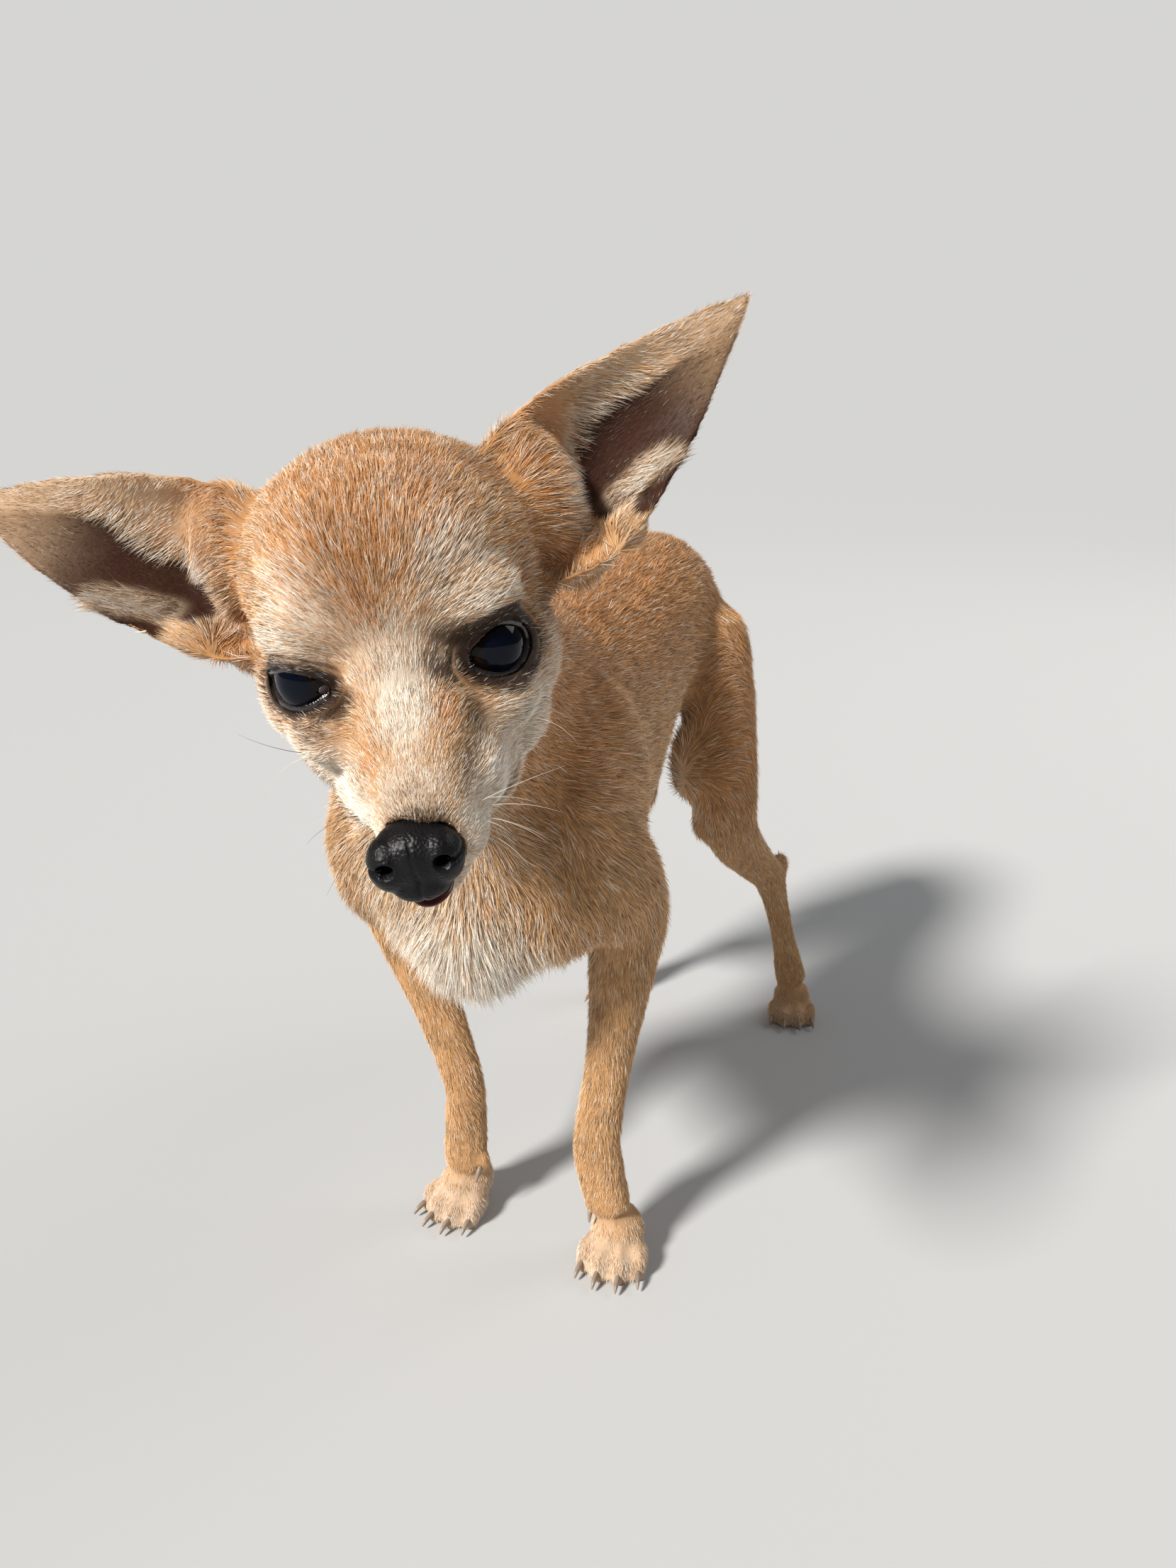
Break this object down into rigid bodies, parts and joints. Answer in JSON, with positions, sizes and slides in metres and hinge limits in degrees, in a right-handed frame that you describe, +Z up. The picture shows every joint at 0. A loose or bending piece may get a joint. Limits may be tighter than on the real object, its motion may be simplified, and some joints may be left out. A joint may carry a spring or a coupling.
{
  "type": "chihuahua",
  "caption": "Short-haired tan chihuahua standing on all fours and leaning forward, its head lowered, turned and tilted, with large upright ears and a pale muzzle.",
  "frame": {"origin": "on the floor, under the middle of the whole dog", "axes": "+Z up; the dog faces -Y, so its left side is +X"},
  "size_m": [0.1682, 0.3862, 0.3287],
  "materials": {
    "coat": "short smooth hair",
    "ear": "short smooth hair over skin",
    "nose_leather": "moist and pebbled",
    "eye": "glossy",
    "tongue": "moist",
    "claw": "satin horn"
  },
  "bodies": {
    "root": {"claw_forepaw_left_1": "claw", "claw_forepaw_left_2": "claw", "claw_forepaw_left_3": "claw", "claw_forepaw_left_4": "claw", "claw_forepaw_left_dew": "claw", "claw_forepaw_right_1": "claw", "claw_forepaw_right_2": "claw", "claw_forepaw_right_3": "claw", "claw_forepaw_right_4": "claw", "claw_forepaw_right_dew": "claw", "claw_hindpaw_left_1": "claw", "claw_hindpaw_left_2": "claw", "claw_hindpaw_left_3": "claw", "claw_hindpaw_left_4": "claw", "claw_hindpaw_right_1": "claw", "claw_hindpaw_right_2": "claw", "claw_hindpaw_right_3": "claw", "claw_hindpaw_right_4": "claw", "ear_left": "ear", "ear_right": "ear", "eye_left": "eye", "eye_right": "eye", "foreleg_left": "coat", "foreleg_right": "coat", "forepaw_left": "coat", "forepaw_right": "coat", "head": "coat", "hindpaw_left": "coat", "hindpaw_right": "coat", "jaw": "coat", "neck": "coat", "nose": "nose_leather", "shank_left": "coat", "shank_right": "coat", "tail": "coat", "thigh_left": "coat", "thigh_right": "coat", "tongue": "tongue", "torso": "coat"}
  },
  "joints": []
}
